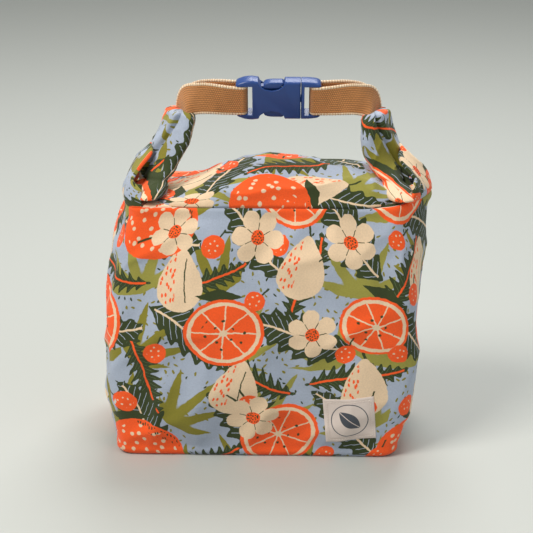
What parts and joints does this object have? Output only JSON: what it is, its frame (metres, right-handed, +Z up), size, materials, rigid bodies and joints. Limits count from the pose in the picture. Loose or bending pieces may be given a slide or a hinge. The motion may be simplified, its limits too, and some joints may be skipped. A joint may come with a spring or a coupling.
{
  "type": "roll-top lunch bag",
  "caption": "Insulated cloth lunch bag with a rolled collar whose ends stand up and clip together with a side-release buckle to form the carrying handle.",
  "frame": {"origin": "middle of the bag's flat base, on the surface it stands on", "axes": "+Z up, front with the sewn label towards -Y, socket half of the buckle towards -X and plug half towards +X"},
  "size_m": [0.2705, 0.1384, 0.3198],
  "materials": {
    "printed_canvas": "matt cotton canvas with a colourful print",
    "lining": "coated plain weave",
    "wadding": "needled felt",
    "webbing": "ribbed woven webbing",
    "buckle_plastic": "satin moulded plastic",
    "label": "woven cotton patch"
  },
  "bodies": {
    "bag": {"front_panel": "printed_canvas", "right_panel": "printed_canvas", "back_panel": "printed_canvas", "left_panel": "printed_canvas", "base_panel": "printed_canvas", "lining_front": "lining", "lining_right": "lining", "lining_back": "lining", "lining_left": "lining", "lining_base": "lining", "wadding": "wadding", "label": "label"},
    "top": {"collar_lining": "lining", "collar_roll": "printed_canvas", "back_leaf": "printed_canvas", "left_gusset_fold": "printed_canvas", "right_gusset_fold": "printed_canvas"},
    "handle": {"left_ear": "printed_canvas", "right_ear": "printed_canvas", "left_webbing": "webbing", "right_webbing": "webbing", "buckle_socket": "buckle_plastic"},
    "plug": {"buckle_plug": "buckle_plastic"},
    "upper_prong": {"upper_prong": "buckle_plastic"},
    "lower_prong": {"lower_prong": "buckle_plastic"}
  },
  "joints": [
    {"name": "top_opening", "type": "hinge", "parent": "bag", "child": "top", "pos_m": [0, 0.054, 0.22], "axis": [-1, 0, 0], "range_deg": [0, 105]},
    {"name": "handle_tilt", "type": "hinge", "parent": "top", "child": "handle", "pos_m": [0, 0, 0.2438], "axis": [1, 0, 0], "range_deg": [-20, 20], "stiffness_Nm_per_rad": 0.3},
    {"name": "buckle_release", "type": "slide", "parent": "handle", "child": "plug", "axis": [1, 0, 0], "range_m": [0, 0.028], "deforming": ["right_webbing", "upper_prong", "lower_prong"]},
    {"name": "upper_prong_squeeze", "type": "hinge", "parent": "plug", "child": "upper_prong", "pos_m": [0.03395, -0.00253, 0.3088], "axis": [0, -0.9511, -0.309], "range_deg": [0, 11], "stiffness_Nm_per_rad": 1},
    {"name": "lower_prong_squeeze", "type": "hinge", "parent": "plug", "child": "lower_prong", "pos_m": [0.03395, 0.00253, 0.2932], "axis": [0, 0.9511, 0.309], "range_deg": [0, 11], "stiffness_Nm_per_rad": 1}
  ],
  "couplings": [
    {"joint": "upper_prong_squeeze", "follows": "buckle_release", "rad_per_m": 6.856},
    {"joint": "lower_prong_squeeze", "follows": "buckle_release", "rad_per_m": 6.856}
  ]
}
